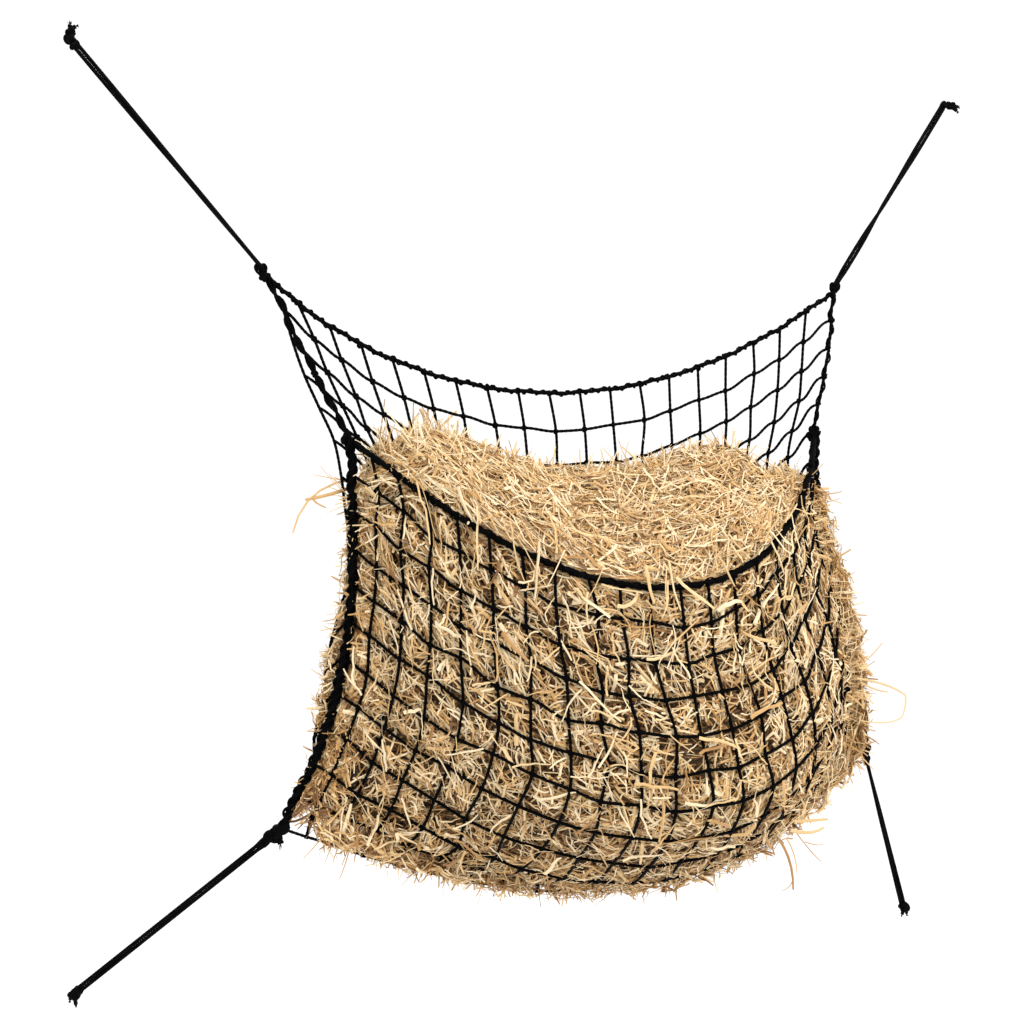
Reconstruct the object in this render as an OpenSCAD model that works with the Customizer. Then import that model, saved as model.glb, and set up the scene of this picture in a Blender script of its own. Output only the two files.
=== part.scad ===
// Hay net: a square-mesh netting pouch hung by four doubled tie cords and filled with hay.
// Millimetres. +X runs to the right, +Y to the back, +Z up.
// The origin is the end of the upper left tie, where it is fastened to a ring or hook.

/* [Hanging points] */
// Distance between the ends of the two upper ties
upper_hook_span = 1090; // [1080:1:1100]
// Height from the upper tie ends down to the lower ones
hook_drop = 1090; // [1080:1:1100]
// How far the lower left tie end lies left of the upper one
lower_left_inset = 22; // [15:1:30]
// How far the lower right tie end lies inside the upper one
lower_right_inset = 34; // [25:1:45]

/* [Netting] */
// Number of meshes across the net
mesh_columns = 19; // [10:1:24]
// Number of mesh rows in the back panel, from rim to fold
back_rows = 16; // [10:1:20]
// Mesh rows of the back panel that stand above the mouth
mouth_row = 5; // [4:1:6]
// Width of a netting strand
twine_w = 4; // [3:0.5:5]
// Thickness of a netting strand
twine_t = 3.6; // [3:0.2:5]
// Sag of the back rim between its corners
back_rim_sag = 136; // [120:1:150]
// Sag of the front rim between the seams
front_rim_sag = 173; // [150:1:190]
// Reach of the front rim ahead of the seams
mouth_reach = 175; // [140:1:200]
// Reach of the front panel at its fullest
front_bulge = 215; // [180:1:240]
// Reach of the back panel at its fullest
back_bulge = 130; // [100:1:150]

/* [Ropes and ties] */
// Diameter of the border ropes
rope_d = 10; // [8:0.5:12]
// Diameter of one strand of a doubled tie
tie_d = 4.8; // [4:0.2:5.4]
// Diameter of the corner eye's bar, round which a tie is looped
eye_d = 5; // [4:0.5:6]
// Diameter of a lashing that holds a netting strand on its rope
lashing_d = 14; // [12:0.5:16]
// Diameter of the large knot at a lower corner
corner_knot_d = 23; // [18:1:24]

/* [Hay] */
// Gap between the netting's middle and the hay behind it
hay_gap = 6; // [5:0.5:10]
// Crown of the hay above the line from the back panel to the front rim
hay_crown = 20; // [0:5:40]

/* [Hidden] */
$fn = 32;

twine_black = [0.06, 0.06, 0.07];
rope_black = [0.1, 0.1, 0.11];
hay_tan = [0.79, 0.64, 0.40];

// The four tie ends, and the line through both upper corner eyes.
upper_left_hook = [0, 0, 0];
upper_right_hook = [upper_hook_span, 0, 0];
lower_left_hook = [-lower_left_inset, 0, -hook_drop];
lower_right_hook = [upper_hook_span - lower_right_inset, 0, 4 - hook_drop];
upper_left_pin = [200, 0, -239];
upper_right_pin = [938, 0, -239];

// Routes of the two side ropes, from the upper corner past the mouth (third point) to the
// lower corner.
left_route = [[205, 0, -245], [250, 0, -340], [300, 0, -442], [305, 0, -515], [305, 0, -590],
    [300, 0, -665], [285, 0, -745], [261, 0, -820], [231, 0, -880], [216, 0, -913]];
right_route = [[935, 0, -245], [927, 0, -340], [910, 0, -432], [914, 0, -520], [935, 0, -595],
    [955, 0, -665], [971, 0, -735], [982, 0, -795], [988, 0, -850]];
mouth_point = 2;

// How the rows change down the panels: [share of the way down, value] pairs, joined smoothly.
back_reach_keys = [[0, 0], [0.18, 4], [0.4, 60], [0.58, back_bulge], [0.76, back_bulge], [1, 0]];
back_sag_keys = [[-0.35, back_rim_sag - 30], [0.35, back_rim_sag + 30], [0.88, 168], [1, 145]];
back_pinch_keys = [[0, 62], [0.28, 48], [0.5, -8], [0.64, -20], [0.8, -16], [1, 25]];
back_shift_keys = [[0, 0], [0.3, 10], [1, 0]];
back_skew_keys = [[0, 0.93], [0.4, 1], [1, 1.3]];
front_reach_keys = [[0, mouth_reach], [0.5, front_bulge], [1, 0]];
front_sag_keys = [[0, front_rim_sag], [0.5, front_rim_sag - 1], [0.82, 192], [1, 145]];
front_pinch_keys = [[0, 36], [0.5, 28], [0.8, 22], [1, 25]];
front_skew_keys = [[0, 1.22], [1, 1.3]];

front_rows = back_rows - mouth_row;
panel_gap = 2.6;         // each panel lies this far to its own side of the middle plane
corner_set = 4;          // the netting's upper corners lie this far down the side ropes
column_ease = 0.08;      // evens out the column pitch across a row that leaves the seams steeply
flat_pinch = 62;         // a row as flat as this needs no such evening
edge_margin = 0.003;     // the outermost strand lies this share of the width inside the edge
spline_steps = 8;
rope_sides = 8;

// ---- Curves ----

function smooth(x) = let (t = min(max(x, 0), 1)) t * t * (3 - 2 * t);
function follow(keys, x, k = 0) = k >= len(keys) - 1 ? keys[0][1] :
    follow(keys, x, k + 1)
    + (keys[k + 1][1] - keys[k][1]) * smooth((x - keys[k][0]) / (keys[k + 1][0] - keys[k][0]));

function spline(p, i, f) =
    let (a = p[max(i - 1, 0)], b = p[i], c = p[i + 1], e = p[min(i + 2, len(p) - 1)])
    0.5 * (2 * b + (c - a) * f + (2 * a - 5 * b + 4 * c - e) * f * f
        + (3 * b - a - 3 * c + e) * f * f * f);
function spline_points(p) = concat(
    [for (i = [0 : len(p) - 2], k = [0 : spline_steps - 1]) spline(p, i, k / spline_steps)],
    [p[len(p) - 1]]);
function lengths(q) = [for (k = 0, s = 0; k < len(q);
    s = s + (k < len(q) - 1 ? norm(q[k + 1] - q[k]) : 0), k = k + 1) s];

// A route as lookup tables of X and Z over the length walked.
function route_table(p) = let (q = spline_points(p), s = lengths(q), n = len(q) - 1) [
    [for (k = [0 : n]) [s[k], q[k][0]]], [for (k = [0 : n]) [s[k], q[k][2]]],
    s[n], s[mouth_point * spline_steps]];
left_table = route_table(left_route);
right_table = route_table(right_route);
function on_route(t, d) = [lookup(d, t[0]), 0, lookup(d, t[1])];
function row_distance(t, row) = row <= mouth_row
    ? corner_set + (t[3] - corner_set) * row / mouth_row
    : t[3] + (t[2] - t[3]) * (row - mouth_row) / front_rows;
function left_edge(row) = on_route(left_table, row_distance(left_table, row));
function right_edge(row) = on_route(right_table, row_distance(right_table, row));

// ---- Panels ----

// One row of meshes, from the left edge to the right one: u is 0 to 1 across, reach is how far
// it bows in Y, sag how far it hangs, pinch how flat it leaves the seams, and skew moves the
// lowest point to the right.
function across(pinch, u) =
    let (c = min(max(u, 0), 1), ease = column_ease * (1 - pinch / flat_pinch))
    pinch + (180 - 2 * pinch) * (c + ease / PI * sin(360 * c));
function row_point(a, b, u, reach, sag, pinch, shift, skew) =
    let (x = -0.5 * cos(across(pinch, u)) / cos(pinch),
        s = (sin(across(pinch, pow(min(max(u, 0), 1), skew))) - sin(pinch)) / (1 - sin(pinch)))
    (a + b) / 2 + (b - a) * x + [-shift * 4 * u * (1 - u), reach * s, -sag * s];
function back_point(u, row) = let (v = row / back_rows)
    row_point(left_edge(row), right_edge(row), u, follow(back_reach_keys, v),
        follow(back_sag_keys, v), follow(back_pinch_keys, v), follow(back_shift_keys, v),
        follow(back_skew_keys, v)) + [0, panel_gap, 0];
function front_point(u, row) = let (v = row / front_rows)
    row_point(left_edge(mouth_row + row), right_edge(mouth_row + row), u,
        -follow(front_reach_keys, v), follow(front_sag_keys, v), follow(front_pinch_keys, v), 0,
        follow(front_skew_keys, v)) - [0, panel_gap, 0];
function panel_point(front, u, row) = front ? front_point(u, row) : back_point(u, row);

function unit(v) = v / norm(v);
function rounded(points) = [for (p = points) [for (c = p) round(c * 1000) / 1000]];
function column_u(j) = edge_margin + (1 - 2 * edge_margin) * j / mesh_columns;

// A point on one face of a strand: at crossing (j, i), to the side (a, b), outside or inside.
function strand_point(front, j, i, a, b, side) =
    let (u = column_u(j), du = twine_w / 2 / 850, di = twine_w / 2 / 48,
        p = panel_point(front, u + a * du, i + b * di),
        n = unit(cross(panel_point(front, min(u + 0.01, 1), i) - panel_point(front, max(u - 0.01, 0), i),
            panel_point(front, u, i + 0.2) - panel_point(front, u, max(i - 0.2, 0)))))
    p + n * side * twine_t / 2;

// The netting of one panel as a lattice: a square at each crossing, and bars between them.
module panel(front, rows) {
    cols = mesh_columns;
    points = [for (i = [0 : rows], j = [0 : cols], side = [1, -1],
        q = [[-1, -1], [1, -1], [1, 1], [-1, 1]]) strand_point(front, j, i, q[0], q[1], side)];
    function at(j, i, side, k) = ((i * (cols + 1) + j) * 2 + side) * 4 + k;
    function ring(j, i, p, q) = [at(j, i, 0, p), at(j, i, 0, q), at(j, i, 1, q), at(j, i, 1, p)];
    crossings = [for (i = [0 : rows], j = [0 : cols]) each
        [[for (k = [3, 2, 1, 0]) at(j, i, 0, k)], [for (k = [0 : 3]) at(j, i, 1, k)]]];
    rims = [for (i = [0 : rows], j = [0 : cols]) each [
        if (i == 0) ring(j, i, 0, 1), if (i == rows) ring(j, i, 2, 3),
        if (j == 0) ring(j, i, 3, 0), if (j == cols) ring(j, i, 1, 2)]];
    bars_across = [for (i = [0 : rows], j = [0 : cols - 1]) each [
        [at(j, i, 0, 2), at(j + 1, i, 0, 3), at(j + 1, i, 0, 0), at(j, i, 0, 1)],
        [at(j, i, 1, 1), at(j + 1, i, 1, 0), at(j + 1, i, 1, 3), at(j, i, 1, 2)],
        [at(j, i, 0, 1), at(j + 1, i, 0, 0), at(j + 1, i, 1, 0), at(j, i, 1, 1)],
        [at(j + 1, i, 0, 3), at(j, i, 0, 2), at(j, i, 1, 2), at(j + 1, i, 1, 3)]]];
    bars_down = [for (i = [0 : rows - 1], j = [0 : cols]) each [
        [at(j, i, 0, 3), at(j, i + 1, 0, 0), at(j, i + 1, 0, 1), at(j, i, 0, 2)],
        [at(j, i, 1, 2), at(j, i + 1, 1, 1), at(j, i + 1, 1, 0), at(j, i, 1, 3)],
        [at(j, i, 0, 2), at(j, i + 1, 0, 1), at(j, i + 1, 1, 1), at(j, i, 1, 2)],
        [at(j, i + 1, 0, 0), at(j, i, 0, 3), at(j, i, 1, 3), at(j, i + 1, 1, 0)]]];
    split = [for (f = concat(crossings, rims, bars_across, bars_down)) each
        [[f[0], f[1], f[2]], [f[0], f[2], f[3]]]];
    color(twine_black) polyhedron(rounded(points), split);
}

module back_netting() panel(false, back_rows);
module front_netting() panel(true, front_rows);

// ---- Ropes ----

// Normals carried along a line with the least turning.
function tangent(q, k) = unit(q[min(k + 1, len(q) - 1)] - q[max(k - 1, 0)]);
function flat_to(v, t) = unit(v - (v * t) * t);
function normals(q, first) = [for (k = 0, n = flat_to(first, tangent(q, 0)); k < len(q);
    k = k + 1, n = k < len(q) ? flat_to(n, tangent(q, k)) : n) n];

// A closed tube of radius r along the points q; first is a direction across its start.
module tube(q, r, first) {
    n = normals(q, first);
    m = rope_sides;
    points = [for (k = [0 : len(q) - 1], a = [0 : m - 1])
        q[k] + r * (cos(360 * a / m) * n[k] + sin(360 * a / m) * cross(tangent(q, k), n[k]))];
    last = (len(q) - 1) * m;
    walls = [for (k = [0 : len(q) - 2], a = [0 : m - 1])
        let (b = (a + 1) % m, c = k * m, d = c + m) each [[c + a, d + a, d + b], [c + a, d + b, c + b]]];
    ends = [for (a = [1 : m - 2]) each [[0, a, a + 1], [last, last + a + 1, last + a]]];
    polyhedron(rounded(points), concat(walls, ends));
}

module back_rim_rope() color(rope_black)
    tube([for (k = [0 : 36]) back_point(0.01 + 0.98 * k / 36, 0) - [0, panel_gap, 0]],
        rope_d / 2, [0, 1, 0]);
module front_rim_rope() color(rope_black)
    tube([for (k = [0 : 36]) front_point(0.015 + 0.97 * k / 36, 0) + [0, panel_gap, 0]],
        rope_d / 2, [0, 0, 1]);
module side_rope(t) color(rope_black)
    tube([for (k = [0 : 30]) on_route(t, 6 + (t[2] - 14) * k / 30)], rope_d / 2, [0, 1, 0]);
module left_side_rope() side_rope(left_table);
module right_side_rope() side_rope(right_table);

// ---- Lashings and knots ----

// A round bar from p to q.
module bar(p, q, r) {
    v = q - p;
    translate(p) rotate([0, acos(v[2] / norm(v)), atan2(v[1], v[0])]) cylinder(h = norm(v), r = r);
}
// A lashing is a short sleeve of turns round the rope, at p along t.
module lashing(p, t) color(rope_black) bar(p - 4.5 * t, p + 4.5 * t, lashing_d / 2);

module back_rim_lashings() for (j = [1 : mesh_columns - 1])
    let (p = back_point(column_u(j), 0), q = back_point(column_u(j) + 0.005, 0))
    lashing(p - [0, panel_gap, 0], unit(q - p));
module front_rim_lashings() for (j = [1 : mesh_columns - 1])
    let (p = front_point(column_u(j), 0), q = front_point(column_u(j) + 0.005, 0))
    lashing(p + [0, panel_gap, 0], unit(q - p));
module side_lashings(t) for (i = [1 : back_rows - 1]) if (i != mouth_row)
    let (d = row_distance(t, i), p = on_route(t, d), q = on_route(t, d + 2))
    lashing(p, unit(q - p));
module left_side_lashings() side_lashings(left_table);
module right_side_lashings() side_lashings(right_table);

// The front rim rope is tied to the side rope where the mouth begins.
module mouth_knot(p, inward) color(rope_black) {
    translate(p) sphere(r = 10);
    translate(p + [inward * 5, -4, -4]) sphere(r = 8);
}
module left_mouth_knot() mouth_knot(left_edge(mouth_row), 1);
module right_mouth_knot() mouth_knot(right_edge(mouth_row), -1);

// An upper corner eye: a straight bar on the swing line, held by two arms that end in the knot
// that gathers the rim rope and the side rope. The tie's bend lies between the arms.
eye_arm_r = 2.2;
eye_drop = 18;
module upper_eye(pin, inward) color(rope_black) translate(pin) {
    near = inward * -5.5;
    far = inward * 10;
    bar([near - inward * 3, 0, 0], [far + inward * 3, 0, 0], eye_d / 2);
    for (x = [near, far]) bar([x, 0, 0], [x, 0, -eye_drop], eye_arm_r);
    translate([inward * 3.5, 0, -eye_drop]) scale([1.45, 1.1, 1]) sphere(r = 7);
}
module upper_left_eye() upper_eye(upper_left_pin, 1);
module upper_right_eye() upper_eye(upper_right_pin, -1);

// A lower corner knot, with an eye whose bar lies along Y, towards the tie's end.
lower_reach = 23;
function lower_pin(corner, hook) = corner + lower_reach * unit(hook - corner);
lower_left_corner = left_route[len(left_route) - 1];
lower_right_corner = right_route[len(right_route) - 1];
lower_left_pin = lower_pin(lower_left_corner, lower_left_hook);
lower_right_pin = lower_pin(lower_right_corner, lower_right_hook);
module lower_knot(corner, pin, tail) color(rope_black) {
    translate(corner) sphere(d = corner_knot_d);
    bar(pin - [0, 8, 0], pin + [0, 8, 0], eye_d / 2);
    for (y = [-5.8, 5.8]) bar(pin + [0, y, 0], corner + [0, y, 0], eye_arm_r);
    bar(corner, corner + tail, tie_d / 2);
}
module lower_left_corner_knot() lower_knot(lower_left_corner, lower_left_pin, [0, 0, -23]);
module lower_right_corner_knot() lower_knot(lower_right_corner, lower_right_pin, [-14, 0, -18]);

// ---- Ties ----

// One doubled tie: a single cord from the end knot, down one side, round the eye's bar and
// back up the other. t points from the pin to the hook, s across the pair; slack moves the
// bend off the bar.
tie_half_gap = tie_d / 2 + 0.2;
bend_r = eye_d / 2 + tie_d / 2 + 0.3;
closing_length = 60;
knot_inset = 6;
function leg(pin, t, s, hook, side) = let (run = norm(hook - pin) - knot_inset)
    [for (k = [0 : 13]) let (d = run * (1 - k / 14),
        w = tie_half_gap + (bend_r - tie_half_gap) * smooth(1 - d / closing_length))
        pin + d * t + side * w * s];
function bend(pin, t, s, slack) = [for (a = [-90 : 22.5 : 90])
    pin - (slack + bend_r * cos(a)) * t - bend_r * sin(a) * s];
function reversed(q) = [for (k = [len(q) - 1 : -1 : 0]) q[k]];
function tie_route(pin, hook, s, slack) = let (t = unit(hook - pin))
    concat(leg(pin, t, s, hook, 1), bend(pin, t, s, slack), reversed(leg(pin, t, s, hook, -1)));
module tie(pin, hook, s, slack) color(rope_black)
    tube(tie_route(pin, hook, s, slack), tie_d / 2, cross(hook - pin, s));
// An upper tie leaves its bar at a slant, so its bend sits further out.
module upper_tie(pin, hook) let (t = unit(hook - pin))
    tie(pin, hook, [0, 1, 0], bend_r / t[2] - bend_r + 0.2);
module upper_left_tie() upper_tie(upper_left_pin, upper_left_hook);
module upper_right_tie() upper_tie(upper_right_pin, upper_right_hook);
module lower_left_tie() tie(lower_left_pin, lower_left_hook,
    unit(cross(lower_left_hook - lower_left_pin, [0, 1, 0])), 0.5);
module lower_right_tie() tie(lower_right_pin, lower_right_hook,
    unit(cross(lower_right_hook - lower_right_pin, [0, 1, 0])), 0.5);

// The end knot of a doubled tie, with its two cut tails.
module end_knot(hook, pin) color(rope_black) {
    t = unit(hook - pin);
    s = cross(t, [0, 1, 0]);
    translate(hook) sphere(r = 9);
    translate(hook - 6 * t) sphere(r = 7.5);
    bar(hook, hook + 21 * t + 4 * s, tie_d / 2);
    bar(hook, hook + 18 * t - 6 * s, tie_d / 2);
}
module upper_left_end_knot() end_knot(upper_left_hook, upper_left_pin);
module upper_right_end_knot() end_knot(upper_right_hook, upper_right_pin);
module lower_left_end_knot() end_knot(lower_left_hook, lower_left_pin);
module lower_right_end_knot() end_knot(lower_right_hook, lower_right_pin);

// ---- Hay ----

// The hay fills the pouch from the fold up to the front rim, and heaps up against the back
// panel. Each column is one closed section: down the front, up the back and over the top.
hay_end = 0.02;
back_steps = 12;
top_steps = 4;
// The row of the back panel up to which the heap reaches: [share of the width, row] pairs.
hay_top_keys = [[0, 6.4], [0.12, 3.6], [0.26, 1.9], [0.5, 2.1], [0.76, 2.5], [0.92, 5], [1, 6.8]];
function hay_outline(u) =
    let (top = follow(hay_top_keys, u), b = back_point(u, top), f = front_point(u, 0)) concat(
        [for (i = [0 : front_rows - 1]) front_point(u, i + 0.01)],
        [for (k = [0 : back_steps]) back_point(u, back_rows - (back_rows - top) * k / back_steps)],
        [for (k = [1 : top_steps]) let (s = k / (top_steps + 1))
            b + (f - b) * s + [0, 0, hay_crown * 4 * s * (1 - s) * sin(180 * u)]]);
function mean(q, k = 0) = k >= len(q) ? [0, 0, 0] : q[k] / len(q) + mean(q, k + 1);
function hay_section(u) = let (q = hay_outline(u), c = mean(q))
    [for (p = q) p + unit(c - p) * min(hay_gap, 0.45 * norm(c - p))];
module hay_load() {
    n = mesh_columns;
    sections = [for (j = [0 : n]) hay_section(hay_end + (1 - 2 * hay_end) * j / n)];
    m = len(sections[0]);
    middles = [mean(sections[0]), mean(sections[n])];
    first = (n + 1) * m;
    walls = [for (j = [0 : n - 1], k = [0 : m - 1])
        let (b = (k + 1) % m, c = j * m, d = c + m) each [[c + k, d + b, c + b], [c + k, d + k, d + b]]];
    ends = [for (k = [0 : m - 1]) let (b = (k + 1) % m) each
        [[first, k, b], [first + 1, n * m + b, n * m + k]]];
    points = rounded(concat([for (s = sections) each s], middles));
    color(hay_tan) polyhedron(points, concat(walls, ends));
}

back_netting();
front_netting();
back_rim_rope();
front_rim_rope();
left_side_rope();
right_side_rope();
back_rim_lashings();
front_rim_lashings();
left_side_lashings();
right_side_lashings();
left_mouth_knot();
right_mouth_knot();
upper_left_eye();
upper_right_eye();
lower_left_corner_knot();
lower_right_corner_knot();
upper_left_tie();
upper_right_tie();
lower_left_tie();
lower_right_tie();
upper_left_end_knot();
upper_right_end_knot();
lower_left_end_knot();
lower_right_end_knot();
hay_load();
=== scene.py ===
import bpy
import numpy as np
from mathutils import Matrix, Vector


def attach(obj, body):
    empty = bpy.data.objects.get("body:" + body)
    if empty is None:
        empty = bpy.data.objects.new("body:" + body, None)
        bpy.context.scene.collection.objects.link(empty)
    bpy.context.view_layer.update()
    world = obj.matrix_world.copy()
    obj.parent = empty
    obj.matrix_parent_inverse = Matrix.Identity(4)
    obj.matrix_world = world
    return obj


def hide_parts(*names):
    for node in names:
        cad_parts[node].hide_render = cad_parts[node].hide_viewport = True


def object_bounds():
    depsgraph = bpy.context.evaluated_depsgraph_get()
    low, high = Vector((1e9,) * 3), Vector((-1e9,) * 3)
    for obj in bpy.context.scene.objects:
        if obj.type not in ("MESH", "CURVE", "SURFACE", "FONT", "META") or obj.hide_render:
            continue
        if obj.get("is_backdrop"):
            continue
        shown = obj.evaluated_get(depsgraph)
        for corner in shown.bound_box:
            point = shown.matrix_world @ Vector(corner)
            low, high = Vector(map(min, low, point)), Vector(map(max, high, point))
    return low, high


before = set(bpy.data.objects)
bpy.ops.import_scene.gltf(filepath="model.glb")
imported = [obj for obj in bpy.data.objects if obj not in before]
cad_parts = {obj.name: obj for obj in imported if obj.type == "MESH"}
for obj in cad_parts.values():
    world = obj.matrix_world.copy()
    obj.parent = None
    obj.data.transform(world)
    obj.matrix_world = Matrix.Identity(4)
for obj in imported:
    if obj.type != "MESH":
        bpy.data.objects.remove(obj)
cad_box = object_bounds()


# ---- Camera and studio ----

LENS = 40.25
SENSOR_WIDTH = 36
CAMERA_PLACE = Vector((0.1905, -1.3859, -0.4446))
CAMERA_WAY = Vector((0.2194, 0.9737, -0.0619))


def stand(name, data, place, target):
    obj = bpy.data.objects.new(name, data)
    bpy.context.scene.collection.objects.link(obj)
    obj.location = place
    obj.rotation_euler = (Vector(target) - obj.location).to_track_quat("-Z", "Y").to_euler()
    return obj


def make_camera():
    data = bpy.data.cameras.new("camera")
    data.lens = LENS
    data.sensor_width = SENSOR_WIDTH
    bpy.context.scene.camera = stand("camera", data, CAMERA_PLACE, CAMERA_PLACE + CAMERA_WAY)


def area_light(name, place, target, size, watts, colour):
    data = bpy.data.lights.new(name, "AREA")
    data.shape = "DISK"
    data.size = size
    data.energy = watts
    data.color = colour
    stand(name, data, place, target)


make_camera()


# ---- The net's shape: the same curves as the CAD model, in metres ----

MESH_COLUMNS = 19
BACK_ROWS = 16
MOUTH_ROW = 5
FRONT_ROWS = BACK_ROWS - MOUTH_ROW
SHEET_ROWS = BACK_ROWS + FRONT_ROWS  # back rim 0, fold BACK_ROWS, front rim SHEET_ROWS
TOP_ROWS = 6  # the hay's top continues the count, front rim to back panel
SPLINE_STEPS = 8
PANEL_GAP = 0.0026  # each panel stands this far off the border ropes
CORNER_SET = 0.004  # row 0 meets the side rope this far below its top
COLUMN_EASE = 0.08  # how much the columns spread towards the middle
FLAT_PINCH = np.radians(62)
EDGE_MARGIN = 0.003  # the first and last columns keep this share of u off the edges

UPPER_LEFT_HOOK = np.array((0, 0, 0))
UPPER_RIGHT_HOOK = np.array((1.090, 0, 0))
LOWER_LEFT_HOOK = np.array((-0.022, 0, -1.090))
LOWER_RIGHT_HOOK = np.array((1.056, 0, -1.086))
UPPER_LEFT_PIN = np.array((0.200, 0, -0.239))
UPPER_RIGHT_PIN = np.array((0.938, 0, -0.239))

LEFT_ROUTE = [(0.205, 0, -0.245), (0.250, 0, -0.340), (0.300, 0, -0.442), (0.305, 0, -0.515),
              (0.305, 0, -0.590), (0.300, 0, -0.665), (0.285, 0, -0.745), (0.261, 0, -0.820),
              (0.231, 0, -0.880), (0.216, 0, -0.913)]
RIGHT_ROUTE = [(0.935, 0, -0.245), (0.927, 0, -0.340), (0.910, 0, -0.432), (0.914, 0, -0.520),
               (0.935, 0, -0.595), (0.955, 0, -0.665), (0.971, 0, -0.735), (0.982, 0, -0.795),
               (0.988, 0, -0.850)]
MOUTH_POINT = 2  # the route's point where the front rim joins

# From a panel's rim (0) to the fold (1): how far its rows reach out, sag, are rounded off at their ends
# (degrees) and shift to the left, and the power that skews them.
BACK_REACH = [(0, 0), (0.18, 0.004), (0.40, 0.060), (0.58, 0.130), (0.76, 0.130), (1, 0)]
BACK_SAG = [(-0.35, 0.106), (0.35, 0.166), (0.88, 0.168), (1, 0.145)]
BACK_PINCH = [(0, 62), (0.28, 48), (0.50, -8), (0.64, -20), (0.8, -16), (1, 25)]
BACK_SHIFT = [(0, 0), (0.3, 0.010), (1, 0)]
BACK_SKEW = [(0, 0.93), (0.4, 1), (1, 1.3)]
FRONT_REACH = [(0, 0.175), (0.5, 0.215), (1, 0)]
FRONT_SAG = [(0, 0.173), (0.5, 0.172), (0.82, 0.192), (1, 0.145)]
FRONT_PINCH = [(0, 36), (0.5, 28), (0.8, 22), (1, 25)]
FRONT_SHIFT = [(0, 0), (1, 0)]
FRONT_SKEW = [(0, 1.22), (1, 1.3)]


def smooth(x):
    t = np.clip(x, 0, 1)
    return t * t * (3 - 2 * t)


def follow(keys, x):
    value = np.full(np.shape(x), float(keys[0][1]))
    for (a, va), (b, vb) in zip(keys, keys[1:]):
        value = value + (vb - va) * smooth((x - a) / (b - a))
    return value


def spline(points, steps=SPLINE_STEPS):
    """Catmull-Rom points through the given ones."""
    p = np.array(points, float)
    out = []
    for i in range(len(p) - 1):
        a, b, c, e = p[max(i - 1, 0)], p[i], p[i + 1], p[min(i + 2, len(p) - 1)]
        f = (np.arange(steps) / steps)[:, None]
        out.append(0.5 * (2 * b + (c - a) * f + (2 * a - 5 * b + 4 * c - e) * f * f
                          + (3 * b - a - 3 * c + e) * f ** 3))
    return np.vstack(out + [p[-1:]])


def walked(points):
    return np.concatenate(([0], np.cumsum(np.linalg.norm(np.diff(points, axis=0), axis=1))))


def resample(points, gap):
    """The same line with evenly spaced points, about gap apart."""
    s = walked(points)
    t = np.linspace(0, s[-1], max(int(round(s[-1] / gap)) + 1, 3))
    return np.stack([np.interp(t, s, points[:, k]) for k in range(3)], axis=1)


class Side:
    """A side rope's route, read by the distance walked from the upper corner."""

    def __init__(self, route):
        self.points = spline(route)
        self.s = walked(self.points)
        self.length = self.s[-1]
        self.mouth = self.s[MOUTH_POINT * SPLINE_STEPS]

    def at(self, d):
        return np.stack([np.interp(d, self.s, self.points[:, k]) for k in range(3)], axis=-1)

    def row(self, row):
        upper = CORNER_SET + (self.mouth - CORNER_SET) * row / MOUTH_ROW
        lower = self.mouth + (self.length - self.mouth) * (row - MOUTH_ROW) / FRONT_ROWS
        return self.at(np.where(row <= MOUTH_ROW, upper, lower))


left_side = Side(LEFT_ROUTE)
right_side = Side(RIGHT_ROUTE)


def across(pinch, u):
    c = np.clip(u, 0, 1)
    ease = COLUMN_EASE * (1 - pinch / FLAT_PINCH)
    return pinch + (np.pi - 2 * pinch) * (c + ease / np.pi * np.sin(2 * np.pi * c))


def lengths_of(v):
    return np.linalg.norm(v, axis=-1, keepdims=True)


def unit(v):
    return v / np.maximum(lengths_of(v), 1e-12)


def row_point(a, b, u, reach, sag, pinch, shift, skew):
    """One row of meshes from the edge a to the edge b; u is 0 to 1 across."""
    x = -0.5 * np.cos(across(pinch, u)) / np.cos(pinch)
    low = np.power(np.clip(u, 0, 1), skew)
    s = (np.sin(across(pinch, low)) - np.sin(pinch)) / (1 - np.sin(pinch))
    move = np.stack([-shift * 4 * u * (1 - u), reach * s, -sag * s], axis=-1)
    return (a + b) / 2 + (b - a) * x[..., None] + move


def sheet(u, r):
    """The netting as one sheet, in rows from the back rim, round the fold, to the front rim."""
    u, r = np.broadcast_arrays(np.asarray(u, float), np.asarray(r, float))
    front = r > BACK_ROWS
    side_row = np.where(front, MOUTH_ROW + SHEET_ROWS - r, r)
    v = np.where(front, (SHEET_ROWS - r) / FRONT_ROWS, r / BACK_ROWS)

    def pick(back_keys, front_keys):
        return np.where(front, follow(front_keys, v), follow(back_keys, v))

    away = np.where(front, -1.0, 1.0)
    p = row_point(left_side.row(side_row), right_side.row(side_row), u,
                  away * pick(BACK_REACH, FRONT_REACH), pick(BACK_SAG, FRONT_SAG),
                  np.radians(pick(BACK_PINCH, FRONT_PINCH)), pick(BACK_SHIFT, FRONT_SHIFT),
                  pick(BACK_SKEW, FRONT_SKEW))
    p[..., 1] += away * PANEL_GAP
    return p


def column_u(j):
    return EDGE_MARGIN + (1 - 2 * EDGE_MARGIN) * j / MESH_COLUMNS


def outward(surface, u, r, du=0.004, dr=0.06):
    """Outward normal of a surface given in (u, r)."""
    across_it = surface(np.minimum(u + du, 1), r) - surface(np.maximum(u - du, 0), r)
    down_it = surface(u, r + dr) - surface(u, r - dr)
    return unit(np.cross(across_it, down_it))


# ---- Mesh building ----

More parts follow.
